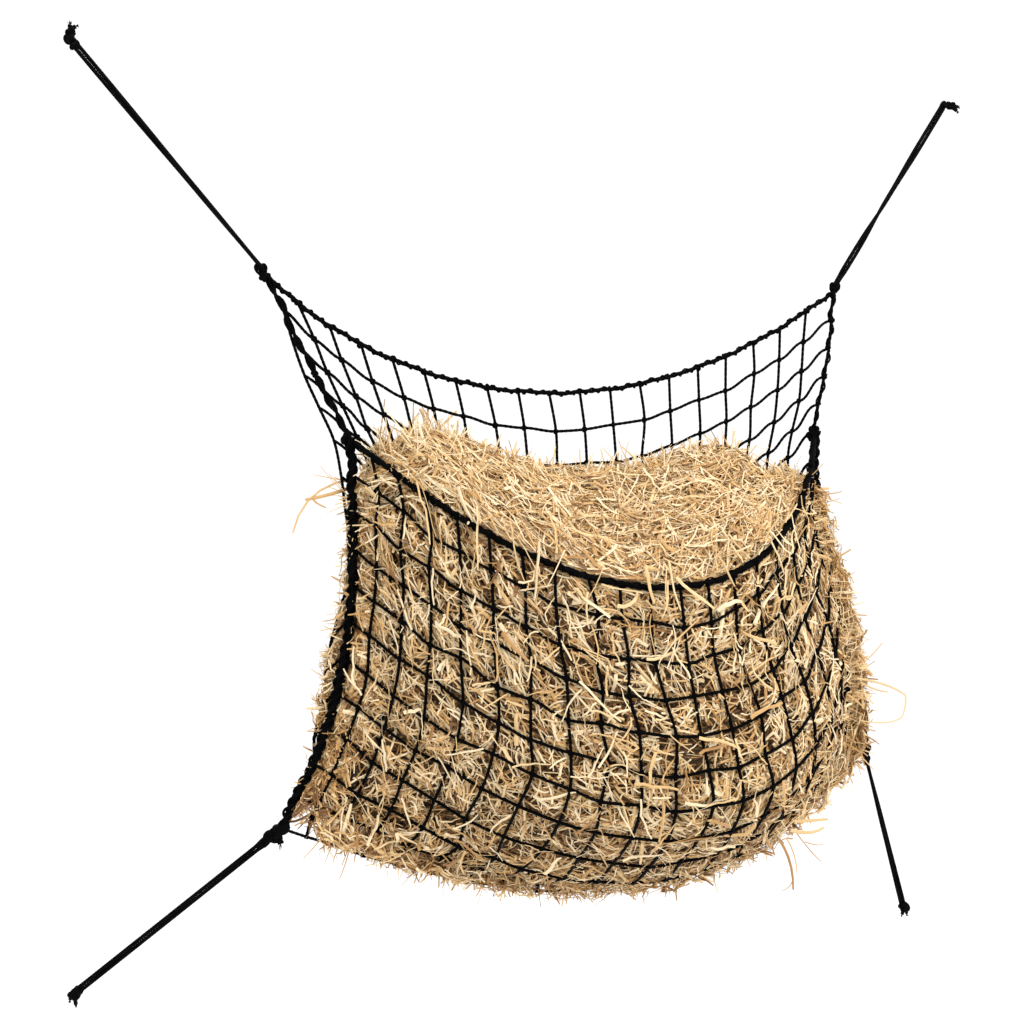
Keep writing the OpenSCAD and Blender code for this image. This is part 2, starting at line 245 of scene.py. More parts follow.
class Bag:
    """Collects the vertices and four-cornered faces of one piece."""

    def __init__(self):
        self.verts, self.faces = [], []
        self.count = 0

    def add(self, verts, faces):
        verts = np.asarray(verts, float).reshape(-1, 3)
        self.verts.append(verts)
        self.faces.append(np.asarray(faces, int).reshape(-1, 4) + self.count)
        self.count += len(verts)

    def piece(self, name, material, smooth_faces=True):
        verts, faces = np.vstack(self.verts), np.vstack(self.faces)
        mesh = bpy.data.meshes.new(name)
        mesh.vertices.add(len(verts))
        mesh.vertices.foreach_set("co", verts.astype(np.float32).ravel())
        mesh.loops.add(faces.size)
        mesh.loops.foreach_set("vertex_index", faces.astype(np.int32).ravel())
        mesh.polygons.add(len(faces))
        mesh.polygons.foreach_set("loop_start", np.arange(0, faces.size, 4, dtype=np.int32))
        mesh.polygons.foreach_set("use_smooth", np.full(len(faces), smooth_faces))
        mesh.update(calc_edges=True)
        mesh.materials.append(material)
        obj = bpy.data.objects.new(name, mesh)
        bpy.context.scene.collection.objects.link(obj)
        return obj


def grid_faces(rings, sides, closed=False):
    """Faces of a tube, counted ring by ring, with flat fans of quads as its ends."""
    i = np.arange(rings if closed else rings - 1)[:, None]
    k = np.arange(sides)[None, :]
    j, m = (i + 1) % rings, (k + 1) % sides
    walls = np.stack([i * sides + k, i * sides + m, j * sides + m, j * sides + k], axis=-1)
    if closed:
        return walls.reshape(-1, 4)
    half = np.arange(sides // 2 - 1)
    cap = np.stack([half, sides - 1 - half, sides - 2 - half, half + 1], axis=-1)
    last = (rings - 1) * sides
    return np.vstack([walls.reshape(-1, 4), cap, cap[:, ::-1] + last])


def tangents(points):
    return unit(np.gradient(points, axis=0))


def carried(points, first):
    """Normals carried along a line with the least turning."""
    t = tangents(points)
    n = np.empty_like(points)
    last = np.asarray(first, float)
    for k in range(len(points)):
        last = last - np.dot(last, t[k]) * t[k]
        last = last / np.linalg.norm(last)
        n[k] = last
    return n


def laid_ring(angles, turn, lobes, groove):
    """The outline of a laid rope: lobes round its middle, turned by turn."""
    return 1 - groove * (1 - np.abs(np.cos(lobes * (angles - turn) / 2)))


def rope(bag, points, normals, radius, sides=8, lobes=2, pitch=0.014, groove=0.18, start=0.0):
    """A laid rope or twine swept along points."""
    t = tangents(points)
    b = np.cross(t, normals)
    angles = np.arange(sides) * 2 * np.pi / sides
    turn = start + 2 * np.pi * walked(points)[:, None] / pitch
    r = radius * laid_ring(angles[None, :], turn, lobes, groove)
    ring = (normals[:, None, :] * np.cos(angles)[None, :, None]
            + b[:, None, :] * np.sin(angles)[None, :, None])
    bag.add(points[:, None, :] + ring * r[..., None], grid_faces(len(points), sides))


def winding(points, normals, reach, pitch, start=0.0):
    """A helix of radius reach round a line."""
    b = np.cross(tangents(points), normals)
    turn = (start + 2 * np.pi * walked(points) / pitch)[:, None]
    return points + reach * (np.cos(turn) * normals + np.sin(turn) * b)


def knot_shape(tube, segments=26, sides=6):
    """A tight overhand knot of overall radius 1, its strand of radius tube."""
    a = np.arange(segments) * 2 * np.pi / segments
    line = np.stack([(np.sin(a) + 2 * np.sin(2 * a)) / 3, (np.cos(a) - 2 * np.cos(2 * a)) / 3,
                     -np.sin(3 * a) / 2.6], axis=1) * (1 - tube)
    t = unit(np.roll(line, -1, axis=0) - np.roll(line, 1, axis=0))
    n = unit(np.cross(t, (0, 0, 1)))
    b = np.cross(t, n)
    k = np.arange(sides) * 2 * np.pi / sides
    ring = n[:, None] * np.cos(k)[None, :, None] + b[:, None] * np.sin(k)[None, :, None]
    return (line[:, None] + tube * ring).reshape(-1, 3), grid_faces(segments, sides, closed=True)


def place_shape(bag, shape, centre, x, z, size):
    """Adds a shape with its x and z directions along the given ones."""
    z = unit(np.asarray(z, float))
    x = unit(np.asarray(x, float) - np.dot(x, z) * z)
    turn = np.stack([x, np.cross(z, x), z])
    bag.add(shape[0] * np.asarray(size) @ turn + centre, shape[1])


BIG_KNOT = knot_shape(0.38, 44, 12)
FIBRE_R = 0.00035


def frayed_end(bag, tip, direction, rng, strands=22, length=0.006):
    """Loose fibres at a cut end."""
    for _ in range(strands):
        way = unit(direction + rng.normal(0, 0.22, 3))
        bend = rng.normal(0, 0.25, 3)
        t = np.linspace(0, 1, 4)[:, None]
        line = tip + length * rng.uniform(0.5, 1.1) * (way * t + bend * t * t)
        rope(bag, line, carried(line, (0.3, 0.5, 0.8)), FIBRE_R, sides=4, lobes=1, groove=0)


# ---- Materials ----

def new_material(name):
    mat = bpy.data.materials.new(name)
    mat.use_nodes = True
    nodes = mat.node_tree.nodes
    return mat, nodes, mat.node_tree.links, nodes["Principled BSDF"]


def noise(nodes, links, scale, detail=4.0, stretch=(1, 1, 1)):
    place = nodes.new("ShaderNodeTexCoord")
    mapping = nodes.new("ShaderNodeMapping")
    mapping.inputs["Scale"].default_value = stretch
    tex = nodes.new("ShaderNodeTexNoise")
    tex.inputs["Scale"].default_value = scale
    tex.inputs["Detail"].default_value = detail
    links.new(place.outputs["Object"], mapping.inputs["Vector"])
    links.new(mapping.outputs["Vector"], tex.inputs["Vector"])
    return tex.outputs["Fac"]


def ramp(nodes, links, source, stops):
    node = nodes.new("ShaderNodeValToRGB")
    while len(node.color_ramp.elements) < len(stops):
        node.color_ramp.elements.new(0.5)
    for element, (place, colour) in zip(node.color_ramp.elements, stops):
        element.position = place
        element.color = (*colour, 1)
    links.new(source, node.inputs["Fac"])
    return node.outputs["Color"]


def bump(nodes, links, height, strength, distance, shader):
    node = nodes.new("ShaderNodeBump")
    node.inputs["Strength"].default_value = strength
    node.inputs["Distance"].default_value = distance
    links.new(height, node.inputs["Height"])
    links.new(node.outputs["Normal"], shader.inputs["Normal"])


def cord_material(name, dark, light, roughness):
    """Black synthetic fibre: fine filaments, with slightly paler worn places."""
    mat, nodes, links, shader = new_material(name)
    wear = noise(nodes, links, 60, 5)
    links.new(ramp(nodes, links, wear, [(0.3, dark), (0.75, light)]), shader.inputs["Base Color"])
    filaments = noise(nodes, links, 900, 2, (1, 1, 0.35))
    bump(nodes, links, filaments, 0.5, 0.0006, shader)
    shader.inputs["Roughness"].default_value = roughness
    shader.inputs["Specular IOR Level"].default_value = 0.02
    return mat


twine_black = cord_material("twine_black", (0.0008, 0.0008, 0.0010), (0.0026, 0.0026, 0.0030), 0.55)
rope_black = cord_material("rope_black", (0.0008, 0.0008, 0.0010), (0.0030, 0.0030, 0.0034), 0.6)
cord_black = cord_material("cord_black", (0.0010, 0.0010, 0.0012), (0.0034, 0.0034, 0.0038), 0.5)

# From a dark stem to a bleached one; the dark end mostly paints the shade on deep stems
STRAW_STOPS = [
    (0.06, (0.14, 0.060, 0.019)), (0.25, (0.32, 0.155, 0.051)), (0.48, (0.52, 0.295, 0.107)),
    (0.72, (0.65, 0.422, 0.182)), (0.92, (0.75, 0.555, 0.295)), (1.0, (0.81, 0.655, 0.42))]
# Near black to brown: the inner hay's brown, darkened further as painted shade for the gaps between
# stems
CORE_SHADE_STOPS = [
    (0.30, (0.020, 0.010, 0.004)), (0.48, (0.07, 0.036, 0.013)), (0.62, (0.20, 0.115, 0.043)),
    (0.80, (0.36, 0.22, 0.09))]
BLOTCH_SHARE = 0.22


def stem_material():
    """Dry stems: each has a tint of its own, which includes painted shade on deep stems and near the
    fold, a little blotched, and a fine grain.
    """
    mat, nodes, links, shader = new_material("stem_straw")
    tint = nodes.new("ShaderNodeAttribute")
    tint.attribute_name = "tint"
    blotch = noise(nodes, links, 70, 3)
    mix = nodes.new("ShaderNodeMath")
    mix.operation = "MULTIPLY_ADD"
    mix.inputs[1].default_value = BLOTCH_SHARE
    links.new(blotch, mix.inputs[0])
    links.new(tint.outputs["Fac"], mix.inputs[2])
    links.new(ramp(nodes, links, mix.outputs[0], STRAW_STOPS), shader.inputs["Base Color"])
    fine = noise(nodes, links, 700, 3)
    bump(nodes, links, fine, 0.25, 0.0008, shader)
    shader.inputs["Roughness"].default_value = 0.5
    shader.inputs["Specular IOR Level"].default_value = 0.35
    return mat


def core_shade_material():
    """The tangle deep in the hay: rough and broken up, brown as inner hay is, and darkened far past
    that as painted shade.
    """
    mat, nodes, links, shader = new_material("core_brown_and_shade")
    tangle = noise(nodes, links, 160, 6, (1, 1, 2.5))
    links.new(ramp(nodes, links, tangle, CORE_SHADE_STOPS), shader.inputs["Base Color"])
    bump(nodes, links, tangle, 1.0, 0.006, shader)
    shader.inputs["Roughness"].default_value = 0.8
    return mat


straw = stem_material()
core_chaff_shade = core_shade_material()


# ---- Ties: each is one cord folded double, looped through its corner eye ----

UP_Y = np.array((0.0, 1.0, 0.0))
TIE_R = 0.0024
TIE_HALF_GAP = TIE_R - 0.00005  # from the middle of the pair to each cord's own middle
BEND_R = 0.0038  # of the turn round the eye
CLOSING = 0.014  # past the eye the two cords come together over this length
KNOT_SET = 0.004  # the cords end this far before the hook, inside the end knot
LOWER_REACH = 0.023  # from a lower corner to the pin that its tie turns on
LINE_GAP = 0.0016  # between a rope's rings
TIE_LAY = dict(sides=14, lobes=7, pitch=0.022, groove=0.12)


def lower_pin(corner, hook):
    return corner + LOWER_REACH * unit(hook - corner)


LOWER_LEFT_CORNER = np.array(LEFT_ROUTE[-1])
LOWER_RIGHT_CORNER = np.array(RIGHT_ROUTE[-1])
LOWER_LEFT_PIN = lower_pin(LOWER_LEFT_CORNER, LOWER_LEFT_HOOK)
LOWER_RIGHT_PIN = lower_pin(LOWER_RIGHT_CORNER, LOWER_RIGHT_HOOK)


def tie_strand(pin, hook, slack, turn_keys):
    """The doubled cord's one line, from the end knot round the eye's bar and back."""
    t = unit(hook - pin)
    run = np.linalg.norm(hook - pin) - KNOT_SET
    flat = np.cross(t, UP_Y)
    d = np.linspace(run, 0, 70)
    turn = np.radians(follow(turn_keys, d / run))
    half = TIE_HALF_GAP + (BEND_R - TIE_HALF_GAP) * smooth(1 - d / CLOSING)
    way = np.cos(turn)[:, None] * UP_Y + np.sin(turn)[:, None] * flat
    down = pin + d[:, None] * t + half[:, None] * way
    up = (pin + d[:, None] * t - half[:, None] * way)[::-1]
    a = np.radians(np.linspace(-80, 80, 12))[:, None]
    bend = pin - (slack + BEND_R * np.cos(a)) * t - BEND_R * np.sin(a) * way[-1]
    return np.vstack([down, bend, up]), pin + d[::-1][:, None] * t


def make_tie(name, pin, hook, slack, turn_keys):
    line, middle = tie_strand(pin, hook, slack, turn_keys)
    line = resample(line, LINE_GAP)
    bag = Bag()
    rope(bag, line, carried(line, np.cross(unit(hook - pin), UP_Y) + 0.2 * UP_Y), TIE_R, **TIE_LAY)
    return bag.piece(name, cord_black), middle


def make_end_knot(name, pin, hook, lumps, tails, seed):
    """An overhand knot in the doubled cord, with its cut and frayed tails."""
    rng = np.random.RandomState(seed)
    t = unit(hook - pin)
    s = np.cross(t, UP_Y)
    bag = Bag()
    for along, aside, size in lumps:
        place_shape(bag, BIG_KNOT, hook + along * t + aside * s, s + rng.normal(0, 0.3, 3),
                    t + rng.normal(0, 0.4, 3), (size, 0.95 * size, 1.1 * size))
    for root, knee, tip in tails:
        a, b, c = [hook + along * t + aside * s + 0.001 * UP_Y for along, aside in (root, knee, tip)]
        line = spline([a, b, c])
        rope(bag, line, carried(line, UP_Y), TIE_R, **TIE_LAY)
        frayed_end(bag, c, unit(line[-1] - line[-2]), rng, length=0.0035)
    return bag.piece(name, cord_black)


# Name, pin, hook, body, slack at the eye, the pair's turn in degrees at shares of its run, the end
# knot's lumps (along, aside, size) and its cut tails (three places each). Along is measured past the
# hook, and aside to the tie's left as seen from the front.
TIES = [
    ("upper_left", UPPER_LEFT_PIN, UPPER_LEFT_HOOK, "upper_ties", 0.0018,
     [(0, 0), (0.35, 20), (1, 85)],
     [(-0.002, 0.001, 0.0070), (0.005, 0.000, 0.0078), (0.010, -0.005, 0.0068)],
     [((0.010, -0.004), (0.013, -0.008), (0.012, -0.014)),
      ((0.011, -0.005), (0.015, -0.008), (0.017, -0.010))]),
    ("upper_right", UPPER_RIGHT_PIN, UPPER_RIGHT_HOOK, "upper_ties", 0.0012,
     [(0, 0), (0.10, 60), (0.5, 180), (0.9, 260), (1, 270)],
     [(0.000, 0.000, 0.0064), (0.004, -0.006, 0.0070), (0.007, -0.011, 0.0062)],
     [((0.006, -0.010), (0.009, -0.014), (0.011, -0.018)),
      ((0.005, -0.011), (0.006, -0.016), (0.006, -0.020))]),
    ("lower_left", LOWER_LEFT_PIN, LOWER_LEFT_HOOK, "lower_left_pull", 0.0005,
     [(0, 90), (1, 90)],
     [(-0.003, 0.000, 0.0072), (0.003, 0.001, 0.0080)],
     [((0.002, 0.002), (0.006, 0.007), (0.009, 0.012)),
      ((0.003, 0.000), (0.007, 0.001), (0.010, 0.003))]),
    ("lower_right", LOWER_RIGHT_PIN, LOWER_RIGHT_HOOK, "lower_right_pull", 0.0005,
     [(0, 20), (0.5, 60), (1, 90)],
     [(-0.003, 0.000, 0.0074), (0.001, 0.001, 0.0086)],
     [((0.003, 0.001), (0.007, 0.003), (0.011, 0.003)),
      ((0.003, 0.000), (0.007, -0.002), (0.010, -0.004))]),
]
KNOT_SEED = 40

for seed, (corner, pin, hook, body, slack, turn_keys, lumps, tails) in enumerate(TIES):
    tie, middle = make_tie(corner + "_cord", pin, hook, slack, turn_keys)
    end = make_end_knot(corner + "_knot", pin, hook, lumps, tails, KNOT_SEED + seed)
    for obj, node in ((tie, corner + "_tie"), (end, corner + "_end_knot")):
        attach(obj, body)
        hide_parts(node)
    float(walked(middle)[-1])


def on_net(obj, slot, *nodes):
    """A piece of the net itself."""
    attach(obj, "net")
    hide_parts(*nodes)


def rope_piece(bag, name, node):
    on_net(bag.piece(name, rope_black), "black_rope", node)


# ---- Netting ----

TWINE_R = 0.0020
KNOT_R = 0.0042
STRAND_STEPS = 17  # rings between two knots
STRAY = (0.0013, 0.0023)  # how unevenly the crossings sit, in the top rows and below
TOP_TAUT_ROWS = 3
LOOSE_ROWS = np.arange(1, 9)  # here the back panel's left edge hangs free of the side rope
LOOSE_REACH = np.array((-0.017, 0.004, 0.0))


def knot_points(rng):
    """Where the strands cross, a little uneven as in any hung net."""
    j, r = np.meshgrid(np.arange(MESH_COLUMNS + 1), np.arange(SHEET_ROWS + 1))
    u, r = column_u(j), r.astype(float)
    inner = ((j > 0) & (j < MESH_COLUMNS) & (r > 0) & (r < SHEET_ROWS))[..., None]
    du = unit(sheet(np.minimum(u + 0.01, 1), r) - sheet(np.maximum(u - 0.01, 0), r))
    dr = unit(sheet(u, np.minimum(r + 0.1, SHEET_ROWS)) - sheet(u, np.maximum(r - 0.1, 0)))
    jitter = rng.normal(0, 1, du.shape) * np.where(r > TOP_TAUT_ROWS, STRAY[1], STRAY[0])[..., None]
    p = sheet(u, r)
    p = p + inner * (du * jitter[..., :1] + dr * jitter[..., 1:2])
    p[LOOSE_ROWS, 0] += LOOSE_REACH * np.sin(np.linspace(0, np.pi, len(LOOSE_ROWS)))[:, None]
    return p, outward(sheet, u, r), dr


def strand(p0, p1, m0, m1):
    """Hermite curve between two knots."""
    f = (np.arange(STRAND_STEPS) / STRAND_STEPS)[:, None]
    return (p0 * (2 * f ** 3 - 3 * f ** 2 + 1) + m0 * (f ** 3 - 2 * f ** 2 + f)
            + p1 * (3 * f ** 2 - 2 * f ** 3) + m1 * (f ** 3 - f ** 2))


def squared(chord, column):
    """A strand's direction at a knot, which holds it partly square to the column."""
    way = unit(chord)
    square = unit(way - np.sum(way * column, axis=-1, keepdims=True) * column)
    return unit((1 - SQUARE_SHARE) * way + SQUARE_SHARE * square) * lengths_of(chord)


def thread(bag, knots, normals, slopes):
    """A strand of twine through a line of knots."""
    spans = [strand(*ends) for ends in zip(knots, knots[1:], slopes, slopes[1:])]
    line = np.vstack(spans + [knots[-1:]])
    share = np.arange(len(line)) / STRAND_STEPS
    n = np.stack([np.interp(share, np.arange(len(knots)), normals[:, k]) for k in range(3)], axis=1)
    t = tangents(line)
    n = unit(n - np.sum(n * t, axis=1, keepdims=True) * t)
    rope(bag, line, n, TWINE_R, sides=8, lobes=2, pitch=0.013, groove=0.22)


# The rows meet the columns more squarely towards the right.
SQUARE_SHARE = 0.2 + 0.45 * column_u(np.arange(MESH_COLUMNS + 1))[:, None]
NETTING_KNOT = knot_shape(0.42, 22, 6)


net_points, net_normals, net_down = knot_points(np.random.RandomState(7))


def make_netting(name, rows, row_lines, seed, loose_rows=None):
    """One panel: its strands and the knots where they cross."""
    rng = np.random.RandomState(seed)
    twine, knots = Bag(), Bag()
    for r in row_lines:
        p = net_points[r]
        chord = np.gradient(p, axis=0)
        thread(twine, p, net_normals[r], squared(chord, net_down[r]))
    for j in range(1, MESH_COLUMNS):
        p = net_points[rows, j]
        thread(twine, p, net_normals[rows, j], np.gradient(p, axis=0))
    if loose_rows is not None:
        p = net_points[loose_rows, 0]
        thread(twine, p, net_normals[loose_rows, 1], np.gradient(p, axis=0))
    for r in row_lines:
        for j in range(1, MESH_COLUMNS):
            spin = rng.uniform(-0.5, 0.5, 3)
            size = KNOT_R * rng.uniform(0.9, 1.15)
            n = net_normals[r, j]
            place_shape(knots, NETTING_KNOT, net_points[r, j] + 0.0006 * n, net_down[r, j] + spin, n,
                        (size, size, 0.8 * size))
    for bag, part in ((twine, "_strands"), (knots, "_knots")):
        on_net(bag.piece(name + part, twine_black), "black_twine", name)


make_netting("back_netting", np.arange(BACK_ROWS + 1), range(1, BACK_ROWS + 1), 8, LOOSE_ROWS)
make_netting("front_netting", np.arange(BACK_ROWS, SHEET_ROWS + 1),
             range(BACK_ROWS + 1, SHEET_ROWS), 9)


# ---- Border ropes with their lacing ----

def wobble(line, normals, rng, size, wave):
    """Moves a line sideways a little, in slow waves."""
    s = walked(line)[:, None]
    b = np.cross(tangents(line), normals)
    p = rng.uniform(0, 6.28, 4)
    a = np.sin(2 * np.pi * s / wave + p[0]) + 0.6 * np.sin(4.7 * np.pi * s / wave + p[1])
    c = np.sin(2.3 * np.pi * s / wave + p[2]) + 0.6 * np.sin(5.3 * np.pi * s / wave + p[3])
    return line + size * (a * normals + c * b)


def laced_rope(bag, line, first, rng, core_r, twine_r, pitch, strands, rough):
    """A laid rope with twine wound round it."""
    line = resample(line, 0.002)
    n = carried(line, first)
    line = wobble(line, n, rng, rough, 0.09)
    rope(bag, line, n, core_r, sides=18, lobes=3, pitch=0.026, groove=0.3)
    for k in range(strands):
        coil = winding(line, n, core_r + 0.55 * twine_r, pitch, start=k * 2 * np.pi / strands)
        coil = wobble(coil, n, rng, 0.0004, 0.05)
        rope(bag, coil, carried(coil, first), twine_r, sides=8, lobes=2, pitch=0.012, groove=0.22)


LASHING = knot_shape(0.4, 26, 8)


def make_lashings(name, points, along, normals, size, rng):
    """Knots that hold the netting's strands on a rope."""
    bag = Bag()
    for p, t, n in zip(points, along, normals):
        spin = rng.uniform(-0.4, 0.4, 3)
        grow = size * rng.uniform(0.85, 1.2)
        place_shape(bag, LASHING, p + rng.normal(0, 0.0008, 3), n + spin, t + 0.5 * spin,
                    (grow, grow, 1.15 * grow))
    rope_piece(bag, name, name)


def rim_line(row):
    u = np.linspace(0, 1, 240)
    away = -1.0 if row else 1.0
    return sheet(u, np.full_like(u, float(row))) - away * PANEL_GAP * UP_Y


def make_rim(name, row, core_r, twine_r, pitch, knot_size, seed, rough):
    rng = np.random.RandomState(seed)
    bag = Bag()
    laced_rope(bag, rim_line(row), (0, 1, 0.2), rng, core_r, twine_r, pitch, 1, rough)
    rope_piece(bag, name + "_rope", name + "_rope")
    j = np.arange(1, MESH_COLUMNS)
    along = net_points[row, j + 1] - net_points[row, j - 1]
    make_lashings(name + "_lashings", net_points[row, j], along, net_normals[row, j], knot_size, rng)


make_rim("back_rim", 0, 0.0029, 0.0012, 0.016, 0.0043, 21, 0.0006)
make_rim("front_rim", SHEET_ROWS, 0.0038, 0.0009, 0.030, 0.0046, 22, 0.0003)

SEAM_SET = 0.004  # a side rope stops this far from its corners
SEAM_FRONT = 0.004  # below the mouth it lies this far in front of the seam
SIDE_KNOT_SIZE = 0.0046


def make_side(name, side, seed, core_r, twine_r, pitch, strands, rough):
    rng = np.random.RandomState(seed)
    bag = Bag()
    upper = side.at(np.linspace(SEAM_SET, side.mouth, 90))
    lower = side.at(np.linspace(side.mouth, side.length - SEAM_SET, 150))
    laced_rope(bag, upper, (0, 1, 0), rng, core_r, twine_r, pitch, strands, rough)
    laced_rope(bag, lower - SEAM_FRONT * UP_Y, (0, 1, 0), rng, 0.0040, 0.0019, 0.042, 3, 0.0006)
    rope_piece(bag, name + "_rope", name + "_rope")
    rows = np.array([r for r in range(1, BACK_ROWS) if r != MOUTH_ROW], float)
    along = side.row(rows + 0.1) - side.row(rows - 0.1)
    make_lashings(name + "_lashings", side.row(rows), along, np.tile(UP_Y, (len(rows), 1)),
                  SIDE_KNOT_SIZE, rng)


make_side("left_side", left_side, 31, 0.0022, 0.0018, 0.052, 2, 0.0011)
make_side("right_side", right_side, 32, 0.0024, 0.0014, 0.038, 1, 0.0005)


# ---- Corner eyes and knots ----

ROPE_LAY = dict(sides=14, lobes=3, pitch=0.016, groove=0.25)
EYE_ROPE_R = 0.0020
CORNER_ROPE_R = 0.0023
CORNER_LOOP_HALF = 0.0046  # half the width of the loop that holds a lower tie


def loop_line(points):
    return resample(spline(points), LINE_GAP)


def make_eye(name, pin, inward):
    """The rope's own tight loop and knot at an upper corner, which the tie passes through."""
    bag = Bag()
    x = np.array((inward, 0.0, 0.0))
    z = np.array((0.0, 0.0, 1.0))
    foot = pin - 0.014 * z + 0.004 * x
    near, far = pin - 0.0030 * x, pin + 0.0064 * x
    line = loop_line([foot, near - 0.006 * z - 0.001 * x, near - 0.0005 * x, pin + 0.0022 * x, far,
                      far - 0.006 * z + 0.001 * x, foot])
    rope(bag, line, carried(line, UP_Y), EYE_ROPE_R, **ROPE_LAY)
    place_shape(bag, BIG_KNOT, pin + 0.0022 * x - 0.004 * z, x - z, UP_Y, (0.0066, 0.0058, 0.0062))
    place_shape(bag, BIG_KNOT, foot, z, UP_Y + x, (0.0066, 0.0058, 0.0058))
    rope_piece(bag, name + "_loop", name)


make_eye("upper_left_eye", UPPER_LEFT_PIN, 1)
make_eye("upper_right_eye", UPPER_RIGHT_PIN, -1)


def make_corner(name, corner, pin, tail, seed):
    """A large knot, the loop that holds the lower tie, and a cut tail."""
    rng = np.random.RandomState(seed)
    bag = Bag()
    t = unit(pin - corner)
    arm = CORNER_LOOP_HALF * UP_Y
    line = loop_line([corner + arm, pin - 0.004 * t + arm, pin + 0.6 * arm, pin - 0.6 * arm,
                      pin - 0.004 * t - arm, corner - arm])
    rope(bag, line, carried(line, t), CORNER_ROPE_R, **ROPE_LAY)
    place_shape(bag, BIG_KNOT, corner, UP_Y + t, np.cross(t, UP_Y), (0.0130, 0.0130, 0.0130))
    place_shape(bag, BIG_KNOT, corner + 0.012 * t, t, UP_Y, (0.0120, 0.0110, 0.0100))
    place_shape(bag, BIG_KNOT, pin + 0.003 * t, t, UP_Y, (0.0095, 0.0062, 0.0062))
    tip = corner + tail
    tail_line = loop_line([corner, corner + 0.5 * tail + 0.002 * t, tip])
    rope(bag, tail_line, carried(tail_line, UP_Y), 0.0042, **dict(ROPE_LAY, pitch=0.018))
    frayed_end(bag, tip, unit(tail), rng, strands=10, length=0.005)
    rope_piece(bag, name + "_loop", name)


make_corner("lower_left_corner_knot", LOWER_LEFT_CORNER, LOWER_LEFT_PIN,
            np.array((0.000, -0.003, -0.017)), 61)
make_corner("lower_right_corner_knot", LOWER_RIGHT_CORNER, LOWER_RIGHT_PIN,
            np.array((-0.012, 0, -0.016)), 62)


def make_mouth_knot(name, side, inward):
    bag = Bag()
    p = side.at(side.mouth)
    x = np.array((inward, 0.0, 0.0))
    place_shape(bag, BIG_KNOT, p, x + UP_Y, UP_Y, (0.0085, 0.0095, 0.0080))
    place_shape(bag, BIG_KNOT, p + 0.006 * x - 0.003 * UP_Y - (0, 0, 0.006), x, UP_Y - x,
                (0.0070, 0.0075, 0.0065))
    rope_piece(bag, name + "_turns", name)


make_mouth_knot("left_mouth_knot", left_side, 1)
make_mouth_knot("right_mouth_knot", right_side, -1)


# ---- Hay ----

HAY_LAST = SHEET_ROWS + TOP_ROWS
# The row of the back panel that the hay's top reaches, by u
HAY_TOP = [(0, 6.4), (0.12, 3.6), (0.26, 1.9), (0.5, 2.1), (0.76, 2.5), (0.92, 5.0), (1, 6.8)]
# How many rows the hay stays below the front rim near its two ends
END_DROP = [(0, 1.5), (0.05, 1.3), (0.14, 0.1), (0.20, 0.0), (0.84, 0.0), (0.90, 0.3), (0.97, 1.6),
            (1, 1.8)]
# How far the heap stands above the straight line from the front rim to the back panel
HEAP = [(0, 0), (0.10, 0.002), (0.20, 0.014), (0.33, 0.002), (0.50, -0.006), (0.68, 0.004),
        (0.80, -0.006), (0.92, -0.004), (1, 0)]
HAY_CROWN = 0.020  # and how much it swells in the middle
CORNER_BARE = [(0, 2.0), (0.04, 1.2), (0.09, 0.0)]  # rows beside the fold without hay, by u
PUFF = 0.010  # how far the hay swells out of each mesh
CLUMP = 0.0055  # how much its bunches stand out or sink in
CLUMP_SEED, BUNCH_SEED, CORE_SEED = 77, 78, 5
BEND_KEPT = 0.60  # how much of the surface's waves a stiff stem follows
STEM_STEPS = 6  # places along a stem
FINE_WIDTHS, THICK_WIDTHS = (0.0011, 0.0026), (0.0028, 0.0050)
STEM_THICKNESS = 0.38  # as a share of its width
STEM_TAPER = 0.35
OVER_STRANDS = -0.0025  # stems placed higher than this lie over the strands
OVER_RIM = -0.007  # and those placed higher than this over the front rim
STRAND_DIP, RIM_DIP = 0.0018, 0.012  # how far the others sink beside the strands, and behind the rim
DEEP_SHADE, FOLD_SHADE = 18, 0.15  # painted shade: tint lost per metre of depth (also the browner inner hay), and at the fold
SPARE_DEPTH = 0.016  # how far stems may stand out past the CAD model, to and fro
CORE_ENDS = (0.10, 0.94)  # the tangle stops short of the seams, and of the bare corner
CORE_COLUMNS, CORE_RING = 110, 190
CORE_INSET = 0.014  # how deep it lies under the hay's surface
CORE_SHARE = 0.35  # and never deeper than this share of the way to its middle
CORE_FLOOR = 0.030  # its bottom is cut flat this far above its lowest place


def hay_top_row(u):
    return follow(HAY_TOP, np.clip(u, 0, 1))


def hay_front_row(u):
    """The row of the front panel up to which the hay fills it."""
    return SHEET_ROWS - follow(END_DROP, np.clip(u, 0, 1))


def ripple(p, seed, wave):
    """A smooth random field of about -1 to 1, with waves of the given length."""
    rng = np.random.RandomState(seed)
    total = 0.0
    for _ in range(7):
        k = rng.normal(0, 1, 3)
        k = k / np.linalg.norm(k) * 2 * np.pi / (wave * rng.uniform(0.7, 1.6))
        total = total + np.sin(p @ k + rng.uniform(0, 6.28))
    return total / 3.2


def hay_surface(u, q):
    """The hay's outside: the netting's rows, then over the top to the back panel."""
    u, q = np.broadcast_arrays(np.asarray(u, float), np.asarray(q, float))
    edge = hay_front_row(u)
    skin = sheet(u, np.clip(q, 0, edge))
    s = np.clip((q - edge) / (HAY_LAST - edge), 0, 1)[..., None]
    front = sheet(u, edge)
    back = sheet(u, hay_top_row(u))
    middle = (4 * s * (1 - s)) * np.sin(np.pi * np.clip(u, 0, 1))[..., None]
    up = HAY_CROWN * middle + follow(HEAP, u)[..., None] * smooth(s * 1.6)
    top = front + (back - front) * s + up * np.array((0, 0, 1.0))
    return np.where((q > edge)[..., None], top, skin)


def mesh_share(u, q):
    """0 at a strand, 1 in the middle of a mesh."""
    return np.abs(np.sin(np.pi * (u - EDGE_MARGIN) * MESH_COLUMNS)) * np.abs(np.sin(np.pi * q))


